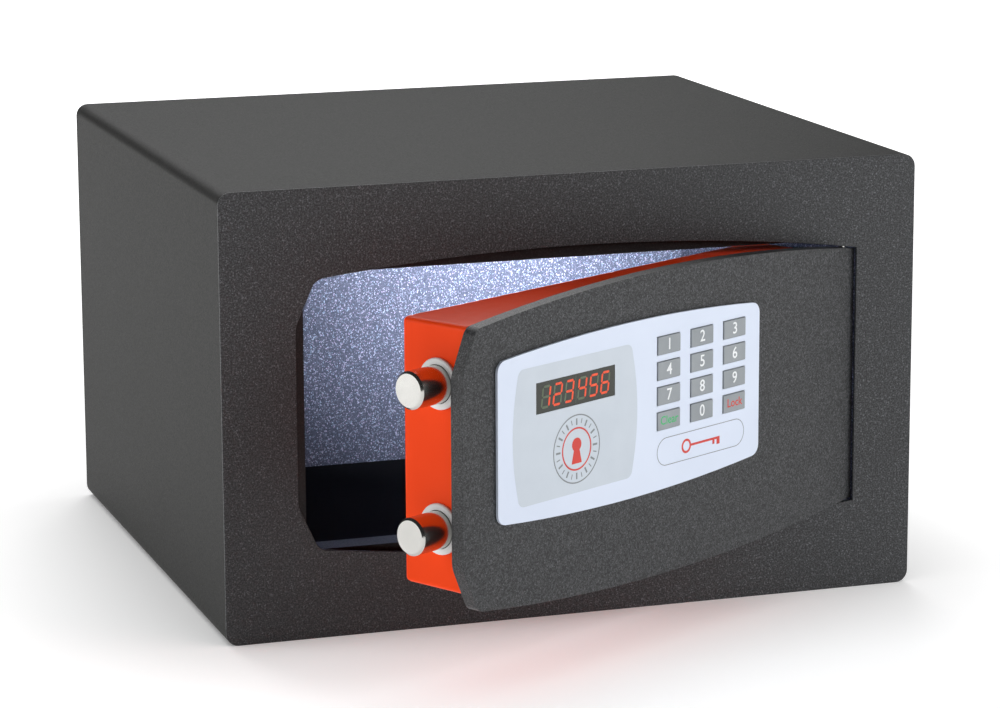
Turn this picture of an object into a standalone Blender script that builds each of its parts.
"""Electronic in-room safe: a sheet steel cabinet, a hinged door and a motor-driven bolt work.

Units are metres. X runs to the right, Y to the back and Z up. Everything is laid out from the
front plate's face at Y = 0, with the door shut. The last lines of main then move the cabinet so
that the origin is the centre of its underside, and swing the door ajar on its pivot.
"""

import math

import bmesh
import bpy
from mathutils import Matrix, Vector

# Cabinet
WIDTH = 0.405
HEIGHT = 0.250
DEPTH = 0.360
SHEET = 0.002
BEND = 0.007
SEAM = 0.0003
OVERCUT = 0.002
FRONT_EDGE = 0.0004
MAT_THICK = 0.006
MAT_MARGIN = 0.006
ANCHOR_DIAMETER = 0.010
ANCHOR_SPAN_X = 0.200
ANCHOR_SPAN_Y = 0.160
ANCHOR_BACK_DROP = 0.035

# Door opening in the front plate, measured in from its edges
LATCH_MARGIN = 0.0417
HINGE_MARGIN = 0.0351
CROWN_MARGIN = 0.0402
ARC_RISE = 0.0113
LATCH_SLOPE = 0.0351
LATCH_CHAMFER = 0.0115
LATCH_FILLET = 0.008
CHAMFER_FILLET = 0.015
HINGE_FILLET = 0.0006

# Door leaf and its hinge
DOOR_GAP = 0.0013
DOOR_THICK = 0.008
DOOR_EDGE = 0.0006
OPEN_ANGLE = 29.2
PIVOT_INSET = 0.0060
PIN_DIAMETER = 0.004
PIN_FIT = 0.0003
PIN_DEPTH = 0.014
LUG_THICK = 0.006
LUG_WIDTH = 0.016
LUG_DEPTH = 0.014
LUG_GAP = 0.0010
LUG_RELIEF = 0.7

# Stop frame behind the front plate
STOP_SHEET = 0.002
STOP_GAP = 0.0004
STOP_LATCH_STEP = 0.0065
STOP_BELOW_CROWN = 0.0078
STOP_COVER = 0.007
STOP_LIP = 0.016
STOP_END_GAP = 0.0275

# Lock cover on the back of the door
COVER_SHEET = 0.0015
COVER_INSET = 0.0112
COVER_DEPTH = 0.0442
COVER_TOP_GAP = 0.0030
COVER_BOTTOM_GAP = 0.0100
COVER_HINGE_GAP = 0.0204
COVER_BEND = 0.003
POST_DIAMETER = 0.008
POST_EDGE = 0.0095
SCREW_DIAMETER = 0.004
SCREW_HEAD_DIAMETER = 0.0078
SCREW_HEAD = 0.0022
SCREW_LENGTH = 0.010
SOCKET_RADIUS = 0.0014
SOCKET_DEPTH = 0.0014
POST_STEP_BACK = 0.004

# Bolt work
BOLT_DIAMETER = 0.020
BOLT_MARGIN = 0.0323
BOLT_RISE = 0.0040
BOLT_BACK = 0.018
BOLT_REACH = 0.0232
BOLT_LENGTH = 0.058
BOLT_CHAMFER = 0.0012
THROW = 0.020
BUSH_RIM = 0.0035
BUSH_FLANGE = 0.0018
BUSH_WALL = 0.0013
BUSH_LENGTH = 0.011
SLIDE_FIT = 0.0003
BAR_THICK = 0.004
BAR_WIDTH = 0.020
BAR_OVERHANG = 0.012
BAR_SCREW_DIAMETER = 0.006
BAR_SCREW_HEAD = 0.0035
BAR_SCREW_BITE = 0.012
RIM_EDGE = 0.0006
MODULE = 0.0015
PINION_TEETH = 12
RACK_TEETH = 13
GEAR_WIDTH = 0.008
GEAR_BACKLASH = 0.0004
RACK_HEIGHT = 0.008
PINION_FROM_BAR = 0.0566
SHAFT_DIAMETER = 0.006
SHAFT_FRONT = 0.002
SHAFT_LENGTH = 0.024
TOOTH_RISE = 0.9
TOOTH_DROP = 1.25
PRESSURE_ANGLE = 20

# Lock drive
CHASSIS_SHEET = 0.002
CHASSIS_WIDTH = 0.068
CHASSIS_HEIGHT = 0.076
CHASSIS_SHIFT = 0.012
CHASSIS_CLEAR = 0.0008
GEARBOX_WIDTH = 0.036
GEARBOX_HEIGHT = 0.038
GEARBOX_RISE = 0.007
MOTOR_DIAMETER = 0.0155
MOTOR_LENGTH = 0.028
MOTOR_BOSS_RADIUS = 0.002
MOTOR_BOSS_LENGTH = 0.002
MOTOR_EDGE = 0.001
MOTOR_DROP = 0.004
DRIVE_EDGE = 0.0015

# Keypad and display
OVERLAY_MARGIN = 0.0245
OVERLAY_RAISE = 0.0119
OVERLAY_WIDTH = 0.2132
OVERLAY_CROWN = 0.0478
OVERLAY_RISE = 0.0052
OVERLAY_CORNER = 0.006
OVERLAY_THICK = 0.0015
KEY_WIDTH = 0.0186
KEY_HEIGHT = 0.0099
KEY_SPACE_X = 0.00925
KEY_SPACE_Z = 0.00385
KEYS_RIGHT = 0.0565
KEYS_RAISE = 0.0108
KEY_PROUD = 0.0008
KEY_FIT = 0.0003
KEY_FLANGE = 0.0008
KEY_TRAVEL = 0.0005
KEY_EDGE = 0.0004
KEY_FLANGE_FRONT = 0.0001
KEY_FLANGE_BACK = 0.0012
KEY_STEM_RADIUS = 0.0025
KEY_STEM_LENGTH = 0.0025
KEYPAD_BORDER = 0.0033
KEY_NAMES = (("1", "2", "3"), ("4", "5", "6"), ("7", "8", "9"), ("clear", "0", "lock"))
BOARD_THICK = 0.0016
BOARD_FIT = 0.0008
DOME_DIAMETER = 0.006
DOME_CLEAR = 0.0002
DISPLAY_LEFT = 0.0463
DISPLAY_RAISE = 0.0190
DISPLAY_WIDTH = 0.0628
DISPLAY_HEIGHT = 0.0172
DISPLAY_CLEAR = 0.00075
DISPLAY_FIT = 0.0003
WINDOW_SINK = 0.0001
WINDOW_EDGE = 0.0002
LED_BLOCK_DEPTH = 0.007
CONTROL_BOARD_WIDTH = 0.100
CONTROL_BOARD_HEIGHT = 0.050
CONTROL_BOARD_INSET = 0.020
CONTROL_BOARD_DROP = 0.0115
CONTROL_BOARD_STANDOFF = 0.004
PARTS_ON_BOARD = (
    # Name, along and up from the board's corner, height
    ("chip_main", 0.042, 0.018, 0.0025),
    ("relay", 0.074, 0.022, 0.009),
    ("plug", 0.016, 0.024, 0.006),
)
BOARD_PART_WIDTH = 0.014
BOARD_PART_TALL = 0.012

# Batteries
CELL_DIAMETER = 0.0145
CELL_LENGTH = 0.0505
CELL_SPACE = 0.0015
CELL_COUNT = 4
CELL_EDGE = 0.0005
CELL_NUB_RADIUS = 0.00275
CELL_NUB = 0.001
CELL_SEAT = 0.0005
HOLDER_END_ROOM = 0.004
HOLDER_REAR_ROOM = 0.0015
HOLDER_INSET = 0.026
HOLDER_FOOT = 0.0025
HOLDER_WALL = 0.0015
HATCH_LAP = 0.007
HATCH_SHEET = 0.0015
HATCH_CORNER = 0.004

# Interior light
LAMP_X = 0.085
LAMP_Y = 0.052
LAMP_WIDTH = 0.070
LAMP_DEPTH = 0.018
LAMP_HEIGHT = 0.008
LENS_THICK = 0.002
LENS_RIM = 0.002
LAMP_EDGE = 0.0015
LENS_EDGE = 0.0006

# Sizes that follow
MIDDLE = HEIGHT / 2
OPENING_LEFT = LATCH_MARGIN - WIDTH / 2
OPENING_RIGHT = WIDTH / 2 - HINGE_MARGIN
OPENING_MIDDLE = (OPENING_LEFT + OPENING_RIGHT) / 2
OPENING_HALF = (OPENING_RIGHT - OPENING_LEFT) / 2
CROWN = HEIGHT / 2 - CROWN_MARGIN
ARC_RADIUS = (OPENING_HALF**2 + ARC_RISE**2) / (2 * ARC_RISE)
LATCH_STRAIGHT = CROWN - LATCH_SLOPE
PIVOT_X = OPENING_RIGHT - DOOR_GAP - PIVOT_INSET
PIVOT_Y = SHEET + SEAM + PIN_DIAMETER / 2
DOOR_LEFT = OPENING_LEFT + DOOR_GAP
STOP_HALF_HEIGHT = CROWN - STOP_BELOW_CROWN
COVER_LEFT = DOOR_LEFT + COVER_INSET
COVER_RIGHT = PIVOT_X - COVER_HINGE_GAP
COVER_FRONT = DOOR_THICK + SEAM
COVER_REAR = DOOR_THICK + COVER_DEPTH + SEAM
COVER_TOP = MIDDLE + STOP_HALF_HEIGHT - COVER_TOP_GAP
COVER_BOTTOM = MIDDLE - STOP_HALF_HEIGHT + COVER_BOTTOM_GAP
COVER_INSIDE = COVER_REAR - COVER_SHEET
STOP_LEFT = OPENING_LEFT + STOP_LATCH_STEP
STOP_RIGHT = OPENING_RIGHT - STOP_END_GAP
STOP_FACE = DOOR_THICK + STOP_GAP
BOLT_Y = DOOR_THICK + BOLT_BACK
BOLT_TIP = COVER_LEFT - BOLT_REACH
BOLT_END = BOLT_TIP + BOLT_LENGTH
BAR_LEFT = BOLT_END + SEAM
BAR_RIGHT = BAR_LEFT + BAR_THICK
RACK_LEFT = BAR_RIGHT + SEAM
PINION_X = RACK_LEFT + PINION_FROM_BAR
BOLT_MIDDLE = MIDDLE + BOLT_RISE
BOLT_SPAN = COVER_TOP - COVER_BOTTOM - 2 * BOLT_MARGIN
BUSH_DIAMETER = BOLT_DIAMETER + 2 * BUSH_RIM
BUSH_SLEEVE = BOLT_DIAMETER / 2 + SLIDE_FIT + BUSH_WALL
RACK_PITCH = math.pi * MODULE
PINION_RADIUS = MODULE * PINION_TEETH / 2
GEAR_FRONT = BOLT_Y - GEAR_WIDTH / 2
CHASSIS_FRONT = BOLT_Y + GEAR_WIDTH / 2 + CHASSIS_CLEAR
CHASSIS_BACK = CHASSIS_FRONT + CHASSIS_SHEET
OVERLAY_X = DOOR_LEFT + OVERLAY_MARGIN + OVERLAY_WIDTH / 2
OVERLAY_Z = MIDDLE + OVERLAY_RAISE
OVERLAY_ARC = ((OVERLAY_WIDTH / 2) ** 2 + OVERLAY_RISE**2) / (2 * OVERLAY_RISE)
KEY_PITCH_X = KEY_WIDTH + KEY_SPACE_X
KEY_PITCH_Z = KEY_HEIGHT + KEY_SPACE_Z
KEYS_X = OVERLAY_X + KEYS_RIGHT
KEYS_Z = OVERLAY_Z + KEYS_RAISE
DISPLAY_X = OVERLAY_X - DISPLAY_LEFT
DISPLAY_Z = OVERLAY_Z + DISPLAY_RAISE
OVERLAY_FRONT = -SEAM - OVERLAY_THICK
KEY_FRONT = OVERLAY_FRONT - KEY_PROUD
KEYPAD_WIDTH = 2 * KEY_PITCH_X + KEY_WIDTH + 2 * KEYPAD_BORDER
KEYPAD_HEIGHT = 3 * KEY_PITCH_Z + KEY_HEIGHT + 2 * KEYPAD_BORDER
KEYBOARD_FRONT = 0.0046
KEY_STEM_END = 0.0030
CELL_PITCH = CELL_DIAMETER + CELL_SPACE
HOLDER_HEIGHT = CELL_COUNT * CELL_PITCH + 2 * HOLDER_WALL
HOLDER_WIDTH = CELL_LENGTH + HOLDER_END_ROOM + 2 * HOLDER_WALL
HOLDER_DEPTH = CELL_DIAMETER + HOLDER_WALL + HOLDER_REAR_ROOM
HOLDER_X = COVER_RIGHT - HOLDER_INSET - HOLDER_WIDTH / 2
HOLDER_Z = COVER_BOTTOM + HOLDER_FOOT + HOLDER_HEIGHT / 2
HATCH_WIDTH = HOLDER_WIDTH - 2 * HOLDER_WALL
HATCH_HEIGHT = HOLDER_HEIGHT - 2 * HOLDER_WALL

COLOURS = {
    "charcoal_paint": ((0.072, 0.074, 0.078), 0.55, 0.15),
    "red_paint": ((0.80, 0.045, 0.012), 0.38, 0.0),
    "bright_steel": ((0.78, 0.77, 0.74), 0.16, 1.0),
    "zinc_steel": ((0.55, 0.56, 0.58), 0.38, 1.0),
    "overlay_plastic": ((0.70, 0.76, 0.86), 0.35, 0.0),
    "key_plastic": ((0.30, 0.33, 0.35), 0.45, 0.0),
    "smoked_acrylic": ((0.035, 0.042, 0.028), 0.12, 0.0),
    "white_nylon": ((0.82, 0.82, 0.81), 0.40, 0.0),
    "black_plastic": ((0.020, 0.020, 0.022), 0.5, 0.0),
    "circuit_board": ((0.020, 0.120, 0.050), 0.45, 0.0),
    "lamp_lens": ((0.85, 0.90, 1.00), 0.30, 0.0),
    "cell_wrap": ((0.10, 0.11, 0.35), 0.30, 0.4),
    "mat_felt": ((0.012, 0.012, 0.013), 0.95, 0.0),
}


def clear_scene():
    for obj in list(bpy.data.objects):
        bpy.data.objects.remove(obj, do_unlink=True)


def new_collection(name):
    collection = bpy.data.collections.new(name)
    bpy.context.scene.collection.children.link(collection)
    return collection


def material(name):
    if name in bpy.data.materials:
        return bpy.data.materials[name]
    colour, roughness, metallic = COLOURS[name]
    made = bpy.data.materials.new(name)
    made.use_nodes = True
    shader = made.node_tree.nodes["Principled BSDF"]
    shader.inputs["Base Color"].default_value = (*colour, 1.0)
    shader.inputs["Roughness"].default_value = roughness
    shader.inputs["Metallic"].default_value = metallic
    return made


def add_empty(name, location, parent=None):
    """A pivot or carriage. Its children are laid out in the cabinet's axes, with the door shut."""
    empty = bpy.data.objects.new(name, None)
    PARTS.objects.link(empty)
    empty.location = location
    attach(empty, parent)
    return empty


def shut_matrix(obj):
    """The object's place with the door shut."""
    if obj.parent is None:
        return Matrix.Translation(obj.location)
    return shut_matrix(obj.parent) @ obj.matrix_parent_inverse @ Matrix.Translation(obj.location)


def attach(obj, parent):
    if parent is not None:
        obj.parent = parent
        obj.matrix_parent_inverse = shut_matrix(parent).inverted()


def add_mesh(name, mesh, finish, parent=None, location=(0, 0, 0), rotation=(0, 0, 0)):
    obj = bpy.data.objects.new(name, mesh)
    obj.location = location
    obj.rotation_euler = rotation
    attach(obj, parent)
    if finish is None:
        CUTTERS.objects.link(obj)
        obj.hide_render = True
        obj.display_type = "WIRE"
    else:
        PARTS.objects.link(obj)
        mesh.materials.append(material(finish))
    return obj


def block(name, low, high, finish, parent=None, bevel=0.0):
    """A box between two corners. Its origin is its centre."""
    size = Vector(high) - Vector(low)
    centre = (Vector(high) + Vector(low)) / 2
    shape = bmesh.new()
    bmesh.ops.create_cube(shape, size=1.0, matrix=Matrix.Diagonal((*size, 1.0)))
    mesh = bpy.data.meshes.new(name)
    shape.to_mesh(mesh)
    shape.free()
    obj = add_mesh(name, mesh, finish, parent, centre)
    if bevel:
        add_bevel(obj, bevel)
    return obj


def add_bevel(obj, width, segments=2):
    modifier = obj.modifiers.new("edges", "BEVEL")
    modifier.width = width
    modifier.segments = segments
    modifier.limit_method = "ANGLE"
    modifier.angle_limit = math.radians(50)


TOWARD = {
    "+X": (0, math.pi / 2, 0),
    "-X": (0, -math.pi / 2, 0),
    "+Y": (-math.pi / 2, 0, 0),
    "-Y": (math.pi / 2, 0, 0),
    "+Z": (0, 0, 0),
    "-Z": (math.pi, 0, 0),
}


def turned(name, profile, base, direction, finish, parent=None, steps=24):
    """A solid of revolution. The profile is (radius, distance along the axis) from top to base."""
    mesh = bpy.data.meshes.new(name)
    points = [(radius, 0.0, along) for radius, along in profile]
    edges = [(i, i + 1) for i in range(len(points) - 1)]
    if profile[0][0] > 0:
        edges.append((len(points) - 1, 0))
    mesh.from_pydata(points, edges, [])
    obj = add_mesh(name, mesh, finish, parent, base, TOWARD[direction])
    screw = obj.modifiers.new("turn", "SCREW")
    screw.steps = steps
    screw.render_steps = steps
    screw.use_merge_vertices = True
    screw.merge_threshold = 0.00001
    screw.use_smooth_shade = False
    return obj


def rod_profile(radius, length):
    return [(0.0, length), (radius, length), (radius, 0.0), (0.0, 0.0)]


def rod(name, radius, length, base, direction, finish, parent=None, steps=24):
    return turned(name, rod_profile(radius, length), base, direction, finish, parent, steps)


def plate(name, loops, front, back, finish, parent=None):
    """A flat piece across Y. Each loop is a list of (x, z); loops inside the first are holes."""
    curve = bpy.data.curves.new(name, "CURVE")
    curve.dimensions = "2D"
    curve.fill_mode = "BOTH"
    curve.extrude = (back - front) / 2
    for loop in loops:
        spline = curve.splines.new("POLY")
        spline.points.add(len(loop) - 1)
        for point, (x, z) in zip(spline.points, loop):
            point.co = (x, z, 0.0, 1.0)
        spline.use_cyclic_u = True
    guide = bpy.data.objects.new(name + "_outline", curve)
    CUTTERS.objects.link(guide)
    guide.location = (0.0, (front + back) / 2, 0.0)
    guide.rotation_euler = (math.pi / 2, 0.0, 0.0)
    bpy.context.view_layer.update()
    graph = bpy.context.evaluated_depsgraph_get()
    mesh = bpy.data.meshes.new_from_object(guide.evaluated_get(graph))
    mesh.name = name
    shape = bmesh.new()
    shape.from_mesh(mesh)
    bmesh.ops.remove_doubles(shape, verts=shape.verts, dist=0.000001)
    bmesh.ops.recalc_face_normals(shape, faces=shape.faces)
    shape.to_mesh(mesh)
    shape.free()
    mesh.transform(guide.matrix_world)
    mesh.materials.clear()
    bpy.data.objects.remove(guide)
    return add_mesh(name, mesh, finish, parent)


def cut(target, cutter):
    combine(target, cutter, "DIFFERENCE")


def join(target, other):
    combine(target, other, "UNION")


def combine(target, other, operation):
    modifier = target.modifiers.new(other.name, "BOOLEAN")
    modifier.operation = operation
    modifier.solver = "EXACT"
    modifier.object = other


def rectangle(x0, x1, z0, z1):
    return [(x0, z0), (x1, z0), (x1, z1), (x0, z1)]


def centred(x, z, width, height):
    return rectangle(x - width / 2, x + width / 2, z - height / 2, z + height / 2)


def circle(x, z, radius, steps=20):
    turns = [2 * math.pi * i / steps for i in range(steps)]
    return [(x + radius * math.cos(turn), z + radius * math.sin(turn)) for turn in turns]


def rounded(corners, steps=5):
    """Fillets a polygon that runs counter-clockwise. Each corner is (x, z, radius)."""
    points = []
    for i, (x, z, radius) in enumerate(corners):
        if not radius:
            points.append((x, z))
            continue
        here = Vector((x, z))
        before = (Vector(corners[i - 1][:2]) - here).normalized()
        after = (Vector(corners[(i + 1) % len(corners)][:2]) - here).normalized()
        half = before.angle(after) / 2
        centre = here + (before + after).normalized() * (radius / math.sin(half))
        start = here + before * (radius / math.tan(half)) - centre
        sweep = math.pi - 2 * half
        for k in range(steps + 1):
            turn = Matrix.Rotation(sweep * k / steps, 2)
            points.append(tuple(centre + turn @ start))
    return points


def inset(corners, distance):
    """Moves every edge of a convex counter-clockwise polygon inwards by the same distance."""
    moved = []
    for i, (x, z, radius) in enumerate(corners):
        here = Vector((x, z))
        before = (here - Vector(corners[i - 1][:2])).normalized()
        after = (Vector(corners[(i + 1) % len(corners)][:2]) - here).normalized()
        normal = Vector((-before.y, before.x)) + Vector((-after.y, after.x))
        reach = normal * (2 * distance / normal.length_squared)
        moved.append((*(here + reach), max(radius - distance, 0.0)))
    return moved


def arc_drop(offset, radius):
    return radius - math.sqrt(radius**2 - offset**2)


def bowed(x0, x1, middle, crown, radius, end_radius, start_radius, steps=14):
    """Corners along an arched edge from x0 to x1, crowned over the middle."""
    corners = []
    for i in range(steps + 1):
        x = x0 + (x1 - x0) * i / steps
        fillet = start_radius if i == 0 else end_radius if i == steps else 0.0
        corners.append((x, crown - arc_drop(x - middle, radius), fillet))
    return corners


def opening_corners():
    """The door opening: arched above and below, square at the hinge and cut back at the latch."""
    cut_back = OPENING_LEFT + LATCH_CHAMFER
    upper = bowed(
        OPENING_RIGHT, cut_back, OPENING_MIDDLE, CROWN, ARC_RADIUS, LATCH_FILLET, HINGE_FILLET
    )
    upper.append((OPENING_LEFT, LATCH_STRAIGHT, CHAMFER_FILLET))
    lower = [(x, -z, fillet) for x, z, fillet in reversed(upper)]
    return [(x, MIDDLE + z, fillet) for x, z, fillet in upper + lower]


def half_door(x):
    """Half the door's height at x."""
    return CROWN - arc_drop(x - OPENING_MIDDLE, ARC_RADIUS) - DOOR_GAP


def lug_seat():
    """How far each hinge lug stands from the middle: clear of the door's edge under all of it."""
    return half_door(PIVOT_X - LUG_WIDTH / 2) + LUG_GAP


def rounded_rectangle(x0, x1, z0, z1, radius, steps=5):
    return rounded([(x, z, radius) for x, z in rectangle(x0, x1, z0, z1)], steps)


def cabinet_outline(wall=0.0):
    half = WIDTH / 2 - wall
    return rounded_rectangle(-half, half, wall, HEIGHT - wall, BEND - wall, 6)


def make_cabinet(cabinet):
    shell = plate(
        "cabinet_shell",
        [cabinet_outline(), cabinet_outline(SHEET)],
        SHEET + SEAM,
        DEPTH - SHEET - SEAM,
        "charcoal_paint",
        cabinet,
    )
    for side in (-1, 1):
        for row in (-1, 1):
            place = (side * ANCHOR_SPAN_X / 2, DEPTH / 2 + row * ANCHOR_SPAN_Y / 2, -SHEET)
            name = "anchor_cut_%d_%d" % (side + 1, row + 1)
            cut(shell, rod(name, ANCHOR_DIAMETER / 2, 3 * SHEET, place, "+Z", None, cabinet))
    loops = [cabinet_outline(), rounded(opening_corners())]
    front = plate("front_plate", loops, 0.0, SHEET, "charcoal_paint", cabinet)
    add_bevel(front, FRONT_EDGE, 1)
    height = MIDDLE - ANCHOR_BACK_DROP
    anchors = [circle(side * ANCHOR_SPAN_X / 2, height, ANCHOR_DIAMETER / 2) for side in (-1, 1)]
    loops = [cabinet_outline(), *anchors]
    plate("back_panel", loops, DEPTH - SHEET, DEPTH, "charcoal_paint", cabinet)
    inside = WIDTH / 2 - SHEET - MAT_MARGIN
    floor = SHEET + SEAM
    front_edge = STOP_FACE + STOP_LIP
    block(
        "floor_mat",
        (-inside, front_edge, floor),
        (inside, DEPTH - SHEET - MAT_MARGIN, floor + MAT_THICK),
        "mat_felt",
        cabinet,
    )


def make_stop_frame(cabinet):
    """The door closes onto this U of sheet, open on the hinge side. The bolts lock behind it."""
    low, high = MIDDLE - STOP_HALF_HEIGHT, MIDDLE + STOP_HALF_HEIGHT
    bottom, top = MIDDLE - CROWN - STOP_COVER, MIDDLE + CROWN + STOP_COVER
    left = OPENING_LEFT - 2 * STOP_COVER
    right = STOP_RIGHT
    flange = [(left, bottom), (right, bottom), (right, low), (STOP_LEFT, low)]
    flange += [(STOP_LEFT, high), (right, high), (right, top), (left, top)]
    back = STOP_FACE + STOP_SHEET
    frame = plate("stop_frame", [flange], STOP_FACE, back, "charcoal_paint", cabinet)
    wall = STOP_SHEET
    rim = [(left, bottom), (right, bottom), (right, bottom + wall), (left + wall, bottom + wall)]
    rim += [(left + wall, top - wall), (right, top - wall), (right, top), (left, top)]
    half_way = STOP_FACE + STOP_SHEET / 2
    join(frame, plate("stop_rim", [rim], SHEET + SEAM, half_way, None, cabinet))
    for name, z0, z1 in (("stop_lip_low", low - wall, low), ("stop_lip_high", high, high + wall)):
        lip_low, lip_high = (STOP_LEFT, half_way, z0), (right, STOP_FACE + STOP_LIP, z1)
        join(frame, block(name, lip_low, lip_high, None, cabinet))


def make_hinge_lug(name, sign, cabinet):
    """A lug behind the front plate, bored for the pin. Sign is 1 above the door and -1 below."""
    near = MIDDLE + sign * lug_seat()
    far = near + sign * LUG_THICK
    front = SHEET + SEAM
    lug = block(
        name,
        (PIVOT_X - LUG_WIDTH / 2, front, min(near, far)),
        (PIVOT_X + LUG_WIDTH / 2, front + LUG_DEPTH, max(near, far)),
        "zinc_steel",
        cabinet,
    )
    bore = PIN_DIAMETER / 2 + PIN_FIT
    start = (PIVOT_X, PIVOT_Y, min(near, far) - OVERCUT)
    length = LUG_THICK + 2 * OVERCUT
    cut(lug, rod("lug_bore_" + name, bore, length, start, "+Z", None, cabinet, 20))
    relief = block(
        "lug_relief_" + name,
        (PIVOT_X - bore * LUG_RELIEF, 0.0, min(near, far) - OVERCUT),
        (PIVOT_X + bore * LUG_RELIEF, PIVOT_Y, max(near, far) + OVERCUT),
        None,
        cabinet,
    )
    cut(lug, relief)


def make_lamp(cabinet):
    """The cabinet light, under the roof."""
    low = (LAMP_X - LAMP_WIDTH / 2, LAMP_Y - LAMP_DEPTH / 2, HEIGHT - SHEET - SEAM - LAMP_HEIGHT)
    high = (LAMP_X + LAMP_WIDTH / 2, LAMP_Y + LAMP_DEPTH / 2, HEIGHT - SHEET - SEAM)
    block("lamp_housing", low, high, "black_plastic", cabinet, bevel=LAMP_EDGE)
    rim = LENS_RIM
    lens_top = low[2] - SEAM
    block(
        "lamp_lens",
        (low[0] + rim, low[1] + rim, lens_top - LENS_THICK),
        (high[0] - rim, high[1] - rim, lens_top),
        "lamp_lens",
        cabinet,
        bevel=LENS_EDGE,
    )


def post_places():
    """Where the four cover screws go, as (x, z)."""
    left = COVER_LEFT + 2 * POST_EDGE
    right = COVER_RIGHT - POST_EDGE
    heights = (COVER_BOTTOM + POST_EDGE, COVER_TOP - POST_EDGE)
    return [(x, z) for x in (left, right) for z in heights]


def make_door_leaf(door):
    window = centred(
        DISPLAY_X, DISPLAY_Z, DISPLAY_WIDTH + 2 * DISPLAY_CLEAR, DISPLAY_HEIGHT + 2 * DISPLAY_CLEAR
    )
    keypad = centred(KEYS_X, KEYS_Z, KEYPAD_WIDTH, KEYPAD_HEIGHT)
    loops = [rounded(inset(opening_corners(), DOOR_GAP)), keypad, window]
    leaf = plate("door_plate", loops, 0.0, DOOR_THICK, "charcoal_paint", door)
    add_bevel(leaf, DOOR_EDGE, 2)
    for sign, end, direction in ((1, "upper", "-Z"), (-1, "lower", "+Z")):
        make_hinge_pin(leaf, sign, end, direction, door)
    add_posts(leaf, door)


def make_hinge_pin(leaf, sign, end, direction, door):
    """A pin in a bore in the leaf's edge. It stands out through the lug."""
    edge, pin_top = half_door(PIVOT_X), lug_seat() + LUG_THICK - SEAM
    start = (PIVOT_X, PIVOT_Y, MIDDLE + sign * (edge + OVERCUT))
    radius = PIN_DIAMETER / 2 + PIN_FIT
    depth = PIN_DEPTH + OVERCUT + SEAM
    cut(leaf, rod("pin_bore_" + end, radius, depth, start, direction, None, door, 20))
    pin_start = (PIVOT_X, PIVOT_Y, MIDDLE + sign * pin_top)
    length = PIN_DEPTH + pin_top - edge
    rod("hinge_pin_" + end, PIN_DIAMETER / 2, length, pin_start, direction, "bright_steel", door, 20)


def add_posts(leaf, door):
    """The threaded posts that the cover is screwed to, one body with the leaf."""
    length = COVER_INSIDE - SEAM - DOOR_THICK / 2
    for i, (x, z) in enumerate(post_places()):
        start = (x, DOOR_THICK / 2, z)
        join(leaf, rod("post_%d" % i, POST_DIAMETER / 2, length, start, "+Y", None, door, 16))
    radius, depth = SCREW_DIAMETER / 2 + SLIDE_FIT, SCREW_LENGTH + POST_STEP_BACK
    for i, (x, z) in enumerate(post_places()):
        start = (x, COVER_REAR + OVERCUT, z)
        cut(leaf, rod("post_bore_%d" % i, radius, depth, start, "-Y", None, door, 12))


def make_cover(door):
    """The red cover: a folded box, open towards the door leaf."""
    low = (COVER_LEFT, COVER_FRONT, COVER_BOTTOM)
    high = (COVER_RIGHT, COVER_REAR, COVER_TOP)
    cover = block("lock_cover", low, high, "red_paint", door)
    shape = bmesh.new()
    shape.from_mesh(cover.data)
    open_face = [face for face in shape.faces if face.normal.y < -0.5]
    bmesh.ops.delete(shape, geom=open_face, context="FACES_ONLY")
    shape.to_mesh(cover.data)
    shape.free()
    add_bevel(cover, COVER_BEND, 4)
    wall = cover.modifiers.new("sheet", "SOLIDIFY")
    wall.thickness = COVER_SHEET
    wall.offset = -1.0
    wall.use_even_offset = True
    for end, z in bolt_heights():
        start = (COVER_LEFT - OVERCUT, BOLT_Y, z)
        radius, length = BUSH_SLEEVE + SLIDE_FIT, COVER_SHEET + 2 * OVERCUT
        cut(cover, rod("bush_hole_" + end, radius, length, start, "+X", None, door, 32))
    hatch = plate(
        "hatch_hole",
        [centred(HOLDER_X, HOLDER_Z, HATCH_WIDTH, HATCH_HEIGHT)],
        COVER_INSIDE - OVERCUT,
        COVER_REAR + OVERCUT,
        None,
        door,
    )
    cut(cover, hatch)
    radius, length = SCREW_DIAMETER / 2 + SLIDE_FIT, COVER_SHEET + 2 * OVERCUT
    for i, (x, z) in enumerate(post_places() + hatch_screws()):
        start = (x, COVER_INSIDE - OVERCUT, z)
        cut(cover, rod("cover_hole_%d" % i, radius, length, start, "+Y", None, door, 12))


def hatch_screws():
    reach = HATCH_HEIGHT / 2 + HATCH_LAP / 2
    return [(HOLDER_X, HOLDER_Z - reach), (HOLDER_X, HOLDER_Z + reach)]


def make_screw(name, x, seat, z, length, parent):
    """A button-head screw with a hexagon socket. Its head is on a face that looks to +Y."""
    head, radius = SCREW_HEAD_DIAMETER / 2, SCREW_DIAMETER / 2
    dome = [(head * math.cos(turn), length + SCREW_HEAD * math.sin(turn)) for turn in (1.2, 0.8, 0.4, 0.0)]
    profile = [(0.0, length + SCREW_HEAD), *dome, (radius, length), (radius, 0.0), (0.0, 0.0)]
    screw = turned(name, profile, (x, seat - length, z), "+Y", "zinc_steel", parent, 16)
    start = (x, seat + SCREW_HEAD + OVERCUT, z)
    depth = SOCKET_DEPTH + OVERCUT
    cut(screw, rod("socket_" + name, SOCKET_RADIUS, depth, start, "-Y", None, parent, 6))


def make_cover_screws(door):
    for i, (x, z) in enumerate(post_places()):
        make_screw("cover_screw_%d" % (i + 1), x, COVER_REAR + SEAM, z, SCREW_LENGTH, door)


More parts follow.
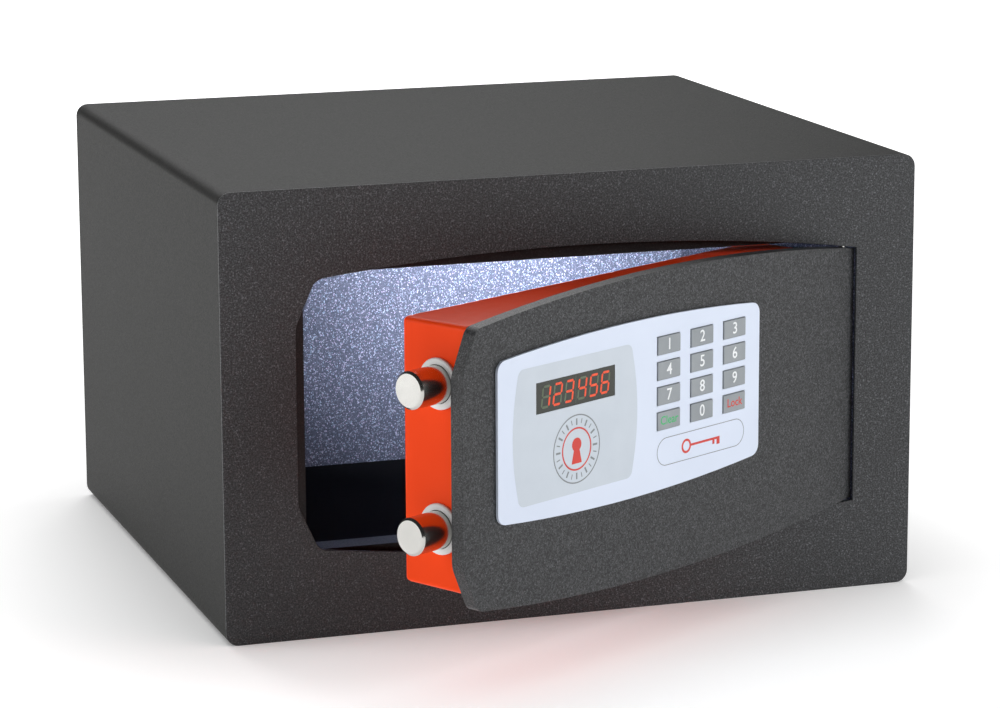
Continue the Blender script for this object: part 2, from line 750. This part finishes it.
def make_batteries(door):
    """Four AA cells in a tray behind the hatch."""
    back = COVER_INSIDE - SEAM
    front = back - HOLDER_DEPTH
    low = HOLDER_Z - HOLDER_HEIGHT / 2
    tray = block(
        "battery_holder",
        (HOLDER_X - HOLDER_WIDTH / 2, front, low),
        (HOLDER_X + HOLDER_WIDTH / 2, back, low + HOLDER_HEIGHT),
        "black_plastic",
        door,
    )
    pocket = block(
        "battery_pocket",
        (HOLDER_X - HATCH_WIDTH / 2, front + HOLDER_WALL, HOLDER_Z - HATCH_HEIGHT / 2),
        (HOLDER_X + HATCH_WIDTH / 2, back + OVERCUT, HOLDER_Z + HATCH_HEIGHT / 2),
        None,
        door,
    )
    cut(tray, pocket)
    axis = front + HOLDER_WALL + CELL_SEAT + CELL_DIAMETER / 2
    for i in range(CELL_COUNT):
        direction = "+X" if i % 2 else "-X"
        side = -1 if i % 2 else 1
        z = HOLDER_Z + (i - (CELL_COUNT - 1) / 2) * CELL_PITCH
        start = (HOLDER_X + side * CELL_LENGTH / 2, axis, z)
        turned("battery_%d" % (i + 1), cell_profile(), start, direction, "cell_wrap", door, 20)


def cell_profile():
    radius, nub, edge = CELL_DIAMETER / 2, CELL_NUB_RADIUS, CELL_EDGE
    body = CELL_LENGTH - CELL_NUB
    profile = [(0.0, CELL_LENGTH), (nub, CELL_LENGTH), (nub, body), (radius - edge, body)]
    return profile + [(radius, body - edge), (radius, edge), (radius - edge, 0.0), (0.0, 0.0)]


def make_battery_cover(door):
    lap = HATCH_LAP
    outline = centred(HOLDER_X, HOLDER_Z, HATCH_WIDTH + 2 * lap, HATCH_HEIGHT + 2 * lap)
    holes = [circle(x, z, SCREW_DIAMETER / 2 + SLIDE_FIT, 12) for x, z in hatch_screws()]
    loops = [rounded([(x, z, HATCH_CORNER) for x, z in outline], 4), *holes]
    seat = COVER_REAR + SEAM
    plate("battery_cover", loops, seat, seat + HATCH_SHEET, "red_paint", door)
    for i, (x, z) in enumerate(hatch_screws()):
        clear = seat + HATCH_SHEET + SEAM
        make_screw("battery_cover_screw_%d" % (i + 1), x, clear, z, HATCH_SHEET + COVER_SHEET, door)


def bolt_heights():
    return (("upper", BOLT_MIDDLE + BOLT_SPAN / 2), ("lower", BOLT_MIDDLE - BOLT_SPAN / 2))


def make_bushes(door):
    """Flanged steel rings that carry the bolts through the side of the cover."""
    bore = BOLT_DIAMETER / 2 + SLIDE_FIT
    flange = BUSH_DIAMETER / 2
    for end, z in bolt_heights():
        profile = [
            (bore, BUSH_LENGTH + BUSH_FLANGE),
            (flange - RIM_EDGE, BUSH_LENGTH + BUSH_FLANGE),
            (flange, BUSH_LENGTH + BUSH_FLANGE - RIM_EDGE),
            (flange, BUSH_LENGTH),
            (BUSH_SLEEVE, BUSH_LENGTH),
            (BUSH_SLEEVE, 0.0),
            (bore, 0.0),
        ]
        start = (COVER_LEFT - SEAM + BUSH_LENGTH, BOLT_Y, z)
        turned("bolt_bush_" + end, profile, start, "-X", "white_nylon", door, 40)


def make_bolts(carriage):
    radius = BOLT_DIAMETER / 2
    thread = BAR_SCREW_DIAMETER / 2 + SLIDE_FIT
    depth = BAR_SCREW_BITE + OVERCUT
    for end, z in bolt_heights():
        profile = [
            (0.0, BOLT_LENGTH),
            (radius - BOLT_CHAMFER, BOLT_LENGTH),
            (radius, BOLT_LENGTH - BOLT_CHAMFER),
            (radius, RIM_EDGE),
            (radius - RIM_EDGE, 0.0),
            (thread, 0.0),
            (thread, depth),
            (0.0, depth),
        ]
        turned("bolt_" + end, profile, (BOLT_END, BOLT_Y, z), "-X", "bright_steel", carriage, 40)
        make_bar_screw(end, z, carriage)


def make_bar_screw(end, z, carriage):
    radius = BAR_SCREW_DIAMETER / 2
    length = BAR_THICK + 2 * SEAM + BAR_SCREW_BITE
    profile = [
        (0.0, length + BAR_SCREW_HEAD),
        (radius * 1.5, length + BAR_SCREW_HEAD),
        (radius * 1.7, length + BAR_SCREW_HEAD - RIM_EDGE),
        (radius * 1.7, length),
        (radius, length),
        (radius, 0.0),
        (0.0, 0.0),
    ]
    start = (BAR_RIGHT + SEAM - length, BOLT_Y, z)
    turned("bar_screw_" + end, profile, start, "+X", "zinc_steel", carriage, 16)


def make_bolt_bar(carriage):
    """The bar ties the two bolts together and carries the rack."""
    reach = BOLT_SPAN / 2 + BAR_OVERHANG
    bar = block(
        "bolt_bar",
        (BAR_LEFT, BOLT_Y - BAR_WIDTH / 2, BOLT_MIDDLE - reach),
        (BAR_RIGHT, BOLT_Y + BAR_WIDTH / 2, BOLT_MIDDLE + reach),
        "zinc_steel",
        carriage,
        bevel=0.0008,
    )
    radius, length = BAR_SCREW_DIAMETER / 2 + SLIDE_FIT, BAR_THICK + 2 * OVERCUT
    for end, z in bolt_heights():
        start = (BAR_LEFT - OVERCUT, BOLT_Y, z)
        cut(bar, rod("bar_hole_" + end, radius, length, start, "+X", None, carriage, 16))


def rack_outline():
    """Straight-sided teeth on top. A gap between teeth lies under the pinion."""
    lean = math.tan(math.radians(PRESSURE_ANGLE))
    top, root = TOOTH_RISE * MODULE, TOOTH_DROP * MODULE
    half = RACK_PITCH / 4 - GEAR_BACKLASH / 2
    first = PINION_X + RACK_PITCH / 2 - RACK_PITCH * math.floor((PINION_X - RACK_LEFT) / RACK_PITCH)
    points = [(RACK_LEFT, MIDDLE - root)]
    for i in range(RACK_TEETH):
        x = first + i * RACK_PITCH
        points.append((x - half - root * lean, MIDDLE - root))
        points.append((x - half + top * lean, MIDDLE + top))
        points.append((x + half - top * lean, MIDDLE + top))
        points.append((x + half + root * lean, MIDDLE - root))
    end = points[-1][0] + MODULE
    points.append((end, MIDDLE - root))
    points.append((end, MIDDLE - root - RACK_HEIGHT))
    points.append((RACK_LEFT, MIDDLE - root - RACK_HEIGHT))
    return points


def pinion_outline():
    """Involute teeth, one of them pointing straight down into the rack."""
    angle = math.radians(PRESSURE_ANGLE)
    base = PINION_RADIUS * math.cos(angle)
    tip, root = PINION_RADIUS + TOOTH_RISE * MODULE, PINION_RADIUS - TOOTH_DROP * MODULE
    half = math.pi / (2 * PINION_TEETH) - GEAR_BACKLASH / (2 * PINION_RADIUS)
    shift = half + math.tan(angle) - angle
    flank = []
    for k in range(5):
        radius = max(base, root) + (tip - max(base, root)) * k / 4
        roll = math.acos(min(base / radius, 1.0))
        flank.append((radius, shift - (math.tan(roll) - roll)))
    if root < base:
        flank.insert(0, (root, flank[0][1]))
    tooth = [(radius, -turn) for radius, turn in flank] + list(reversed(flank))
    points = []
    for i in range(PINION_TEETH):
        middle = 2 * math.pi * i / PINION_TEETH - math.pi / 2
        for radius, turn in tooth:
            x = PINION_X + radius * math.cos(middle + turn)
            points.append((x, pinion_height() + radius * math.sin(middle + turn)))
    return points


def pinion_height():
    return MIDDLE + PINION_RADIUS


def make_gears(carriage, pinion_axis):
    back = GEAR_FRONT + GEAR_WIDTH
    plate("bolt_rack", [rack_outline()], GEAR_FRONT, back, "zinc_steel", carriage)
    pinion = plate("drive_pinion", [pinion_outline()], GEAR_FRONT, back, "zinc_steel", pinion_axis)
    start = (PINION_X, GEAR_FRONT - SHAFT_FRONT, pinion_height())
    radius = SHAFT_DIAMETER / 2
    join(pinion, rod("pinion_shaft", radius, SHAFT_LENGTH, start, "+Y", None, pinion_axis, 20))


def make_chassis(door):
    """A bent chassis on the door leaf carries the gearbox."""
    left = PINION_X - CHASSIS_WIDTH / 2 + CHASSIS_SHIFT
    right = left + CHASSIS_WIDTH
    low = pinion_height() - CHASSIS_HEIGHT / 2
    high = low + CHASSIS_HEIGHT
    chassis = block(
        "lock_chassis", (left, CHASSIS_FRONT, low), (right, CHASSIS_BACK, high), "zinc_steel", door
    )
    foot = DOOR_THICK + SEAM
    for name, z in (("chassis_leg_low", low), ("chassis_leg_high", high - CHASSIS_SHEET)):
        leg_top = (right, CHASSIS_BACK - CHASSIS_SHEET / 2, z + CHASSIS_SHEET)
        join(chassis, block(name, (left, foot, z), leg_top, None, door))
    start = (PINION_X, CHASSIS_FRONT - OVERCUT, pinion_height())
    radius, length = SHAFT_DIAMETER / 2 + SLIDE_FIT, CHASSIS_SHEET + 2 * OVERCUT
    cut(chassis, rod("shaft_hole", radius, length, start, "+Y", None, door, 20))


def make_drive(door):
    """The gearbox turns the pinion's shaft. Its motor stands out of one side."""
    box_front = CHASSIS_BACK + SEAM
    box_back = COVER_INSIDE - SEAM
    box_low = pinion_height() + GEARBOX_RISE - GEARBOX_HEIGHT / 2
    gearbox = block(
        "gearbox",
        (PINION_X - GEARBOX_WIDTH / 2, box_front, box_low),
        (PINION_X + GEARBOX_WIDTH / 2, box_back, box_low + GEARBOX_HEIGHT),
        "black_plastic",
        door,
        bevel=DRIVE_EDGE,
    )
    shaft_end = GEAR_FRONT - SHAFT_FRONT + SHAFT_LENGTH
    start = (PINION_X, box_front - OVERCUT, pinion_height())
    radius, length = SHAFT_DIAMETER / 2 + SLIDE_FIT, shaft_end - start[1] + OVERCUT
    cut(gearbox, rod("shaft_socket", radius, length, start, "+Y", None, door, 20))
    motor_y = (box_front + box_back) / 2
    motor_z = box_low + GEARBOX_HEIGHT - MOTOR_DIAMETER / 2 - MOTOR_DROP
    start = (PINION_X + GEARBOX_WIDTH / 2 + SEAM, motor_y, motor_z)
    turned("lock_motor", motor_profile(), start, "+X", "bright_steel", door, 24)


def motor_profile():
    radius, boss, edge = MOTOR_DIAMETER / 2, MOTOR_BOSS_RADIUS, MOTOR_EDGE
    end = MOTOR_LENGTH + MOTOR_BOSS_LENGTH
    profile = [(0.0, end), (boss, end), (boss, MOTOR_LENGTH), (radius - edge, MOTOR_LENGTH)]
    return profile + [(radius, MOTOR_LENGTH - edge), (radius, 0.0), (0.0, 0.0)]


def key_places():
    """Each key's name and centre, row by row from the top."""
    for row, names in enumerate(KEY_NAMES):
        for column, name in enumerate(names):
            x = KEYS_X + (column - 1) * KEY_PITCH_X
            yield name, x, KEYS_Z + (1.5 - row) * KEY_PITCH_Z


def overlay_outline():
    half = OVERLAY_WIDTH / 2
    fillet = OVERLAY_CORNER
    top = bowed(half, -half, 0.0, OVERLAY_CROWN, OVERLAY_ARC, fillet, fillet, 12)
    bottom = [(x, -z, radius) for x, z, radius in reversed(top)]
    return rounded([(OVERLAY_X + x, OVERLAY_Z + z, radius) for x, z, radius in top + bottom])


def make_keypad(door):
    loops = [overlay_outline()]
    for _, x, z in key_places():
        loops.append(centred(x, z, KEY_WIDTH + 2 * KEY_FIT, KEY_HEIGHT + 2 * KEY_FIT))
    loops.append(centred(DISPLAY_X, DISPLAY_Z, DISPLAY_WIDTH, DISPLAY_HEIGHT))
    plate("keypad_overlay", loops, OVERLAY_FRONT, -SEAM, "overlay_plastic", door)
    for name, x, z in key_places():
        make_key(name, x, z, door)
    width, height = KEYPAD_WIDTH - 2 * BOARD_FIT, KEYPAD_HEIGHT - 2 * BOARD_FIT
    outline = centred(KEYS_X, KEYS_Z, width, height)
    back = KEYBOARD_FRONT + BOARD_THICK
    board = plate("keypad_board", [outline], KEYBOARD_FRONT, back, "circuit_board", door)
    for name, x, z in key_places():
        start = (x, KEYBOARD_FRONT + BOARD_THICK / 2, z)
        height = start[1] - KEY_STEM_END - KEY_TRAVEL - DOME_CLEAR
        join(board, rod("dome_" + name, DOME_DIAMETER / 2, height, start, "-Y", None, door, 12))


def make_key(name, x, z, door):
    """A keycap with a flange that the overlay holds in, and a stem that meets its dome."""
    key = block(
        "key_" + name,
        (x - KEY_WIDTH / 2, KEY_FRONT, z - KEY_HEIGHT / 2),
        (x + KEY_WIDTH / 2, 2 * SEAM, z + KEY_HEIGHT / 2),
        "key_plastic",
        door,
        bevel=KEY_EDGE,
    )
    reach_x, reach_z = KEY_WIDTH / 2 + KEY_FLANGE, KEY_HEIGHT / 2 + KEY_FLANGE
    low = (x - reach_x, KEY_FLANGE_FRONT, z - reach_z)
    high = (x + reach_x, KEY_FLANGE_BACK, z + reach_z)
    join(key, block("flange_" + name, low, high, None, door))
    start = (x, KEY_STEM_END, z)
    stem = rod("stem_" + name, KEY_STEM_RADIUS, KEY_STEM_LENGTH, start, "-Y", None, door, 12)
    join(key, stem)


def make_display(door):
    """The smoked window in the overlay, and the digit block behind it."""
    half_x, half_z = DISPLAY_WIDTH / 2 - DISPLAY_FIT, DISPLAY_HEIGHT / 2 - DISPLAY_FIT
    block(
        "display_window",
        (DISPLAY_X - half_x, OVERLAY_FRONT + WINDOW_SINK, DISPLAY_Z - half_z),
        (DISPLAY_X + half_x, -SEAM, DISPLAY_Z + half_z),
        "smoked_acrylic",
        door,
        bevel=WINDOW_EDGE,
    )
    block(
        "display_module",
        (DISPLAY_X - half_x, SEAM, DISPLAY_Z - half_z),
        (DISPLAY_X + half_x, SEAM + LED_BLOCK_DEPTH, DISPLAY_Z + half_z),
        "black_plastic",
        door,
    )


def make_control_board(door):
    front = DOOR_THICK + CONTROL_BOARD_STANDOFF
    right = COVER_RIGHT - CONTROL_BOARD_INSET
    bottom = COVER_TOP - CONTROL_BOARD_DROP - CONTROL_BOARD_HEIGHT
    low = (right - CONTROL_BOARD_WIDTH, front, bottom)
    high = (low[0] + CONTROL_BOARD_WIDTH, front + BOARD_THICK, low[2] + CONTROL_BOARD_HEIGHT)
    board = block("control_board", low, high, "circuit_board", door)
    for name, along, up, height in PARTS_ON_BOARD:
        x, z = low[0] + along, bottom + up
        near = (x, high[1] - BOARD_THICK / 2, z)
        far = (x + BOARD_PART_WIDTH, high[1] + height, z + BOARD_PART_TALL)
        join(board, block(name, near, far, None, door))


def main():
    cabinet = add_empty("cabinet", (0.0, 0.0, 0.0))
    make_cabinet(cabinet)
    make_stop_frame(cabinet)
    make_hinge_lug("hinge_lug_upper", 1, cabinet)
    make_hinge_lug("hinge_lug_lower", -1, cabinet)
    make_lamp(cabinet)
    door = add_empty("door_pivot", (PIVOT_X, PIVOT_Y, MIDDLE), cabinet)
    carriage = add_empty("bolt_carriage", (BAR_LEFT, BOLT_Y, MIDDLE), door)
    pinion_axis = add_empty("pinion_axis", (PINION_X, BOLT_Y, pinion_height()), door)
    make_door_leaf(door)
    make_cover(door)
    make_cover_screws(door)
    make_batteries(door)
    make_battery_cover(door)
    make_bushes(door)
    make_bolts(carriage)
    make_bolt_bar(carriage)
    make_gears(carriage, pinion_axis)
    make_chassis(door)
    make_drive(door)
    make_keypad(door)
    make_display(door)
    make_control_board(door)
    cabinet.location.y = -DEPTH / 2
    door.rotation_euler = (0.0, 0.0, math.radians(OPEN_ANGLE))
    bpy.context.view_layer.update()


clear_scene()
PARTS = new_collection("in_room_safe")
CUTTERS = new_collection("cutters")
main()
